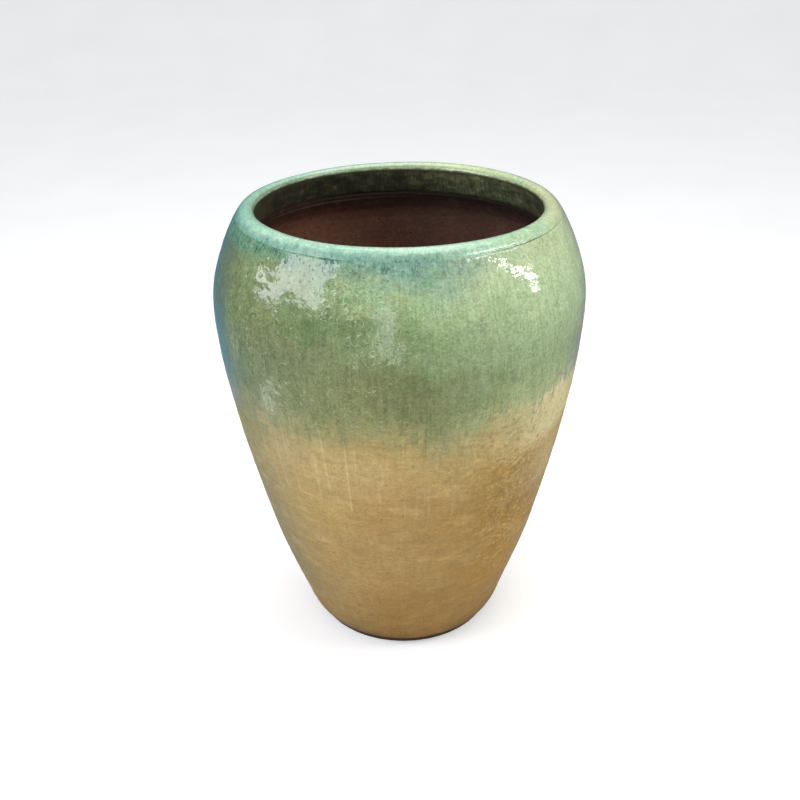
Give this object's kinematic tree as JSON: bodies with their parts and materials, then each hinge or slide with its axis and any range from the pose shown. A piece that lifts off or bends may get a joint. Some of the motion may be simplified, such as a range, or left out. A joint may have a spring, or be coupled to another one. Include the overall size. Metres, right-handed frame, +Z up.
{
  "type": "glazed terracotta planter",
  "caption": "Large belly-shaped glazed terracotta garden planter with a closed-in shoulder, thick rolled rim, bare clay inside and foot, and a drain hole through the floor.",
  "frame": {"origin": "on the pot's axis, in the plane the foot stands on", "axes": "+Z up along the pot's axis, towards the mouth; the pot is round, so X and Y are interchangeable, and -Y is the side that is usually shown"},
  "size_m": [0.5976, 0.5976, 0.75],
  "materials": {
    "terracotta": "unglazed fired red clay, matt, with throwing lines",
    "tan_glaze": "satin to glossy honey-tan glaze, brushed and slightly streaked",
    "green_glaze": "glossy olive to celadon green running glaze",
    "rim_glaze": "glossy pale turquoise glaze, pooled thick on the rim",
    "inner_glaze": "thin dark olive glaze"
  },
  "bodies": {
    "root": {"clay_body": "terracotta", "tan_glaze": "tan_glaze", "green_glaze": "green_glaze", "rim_glaze": "rim_glaze", "inner_glaze": "inner_glaze"}
  },
  "joints": []
}
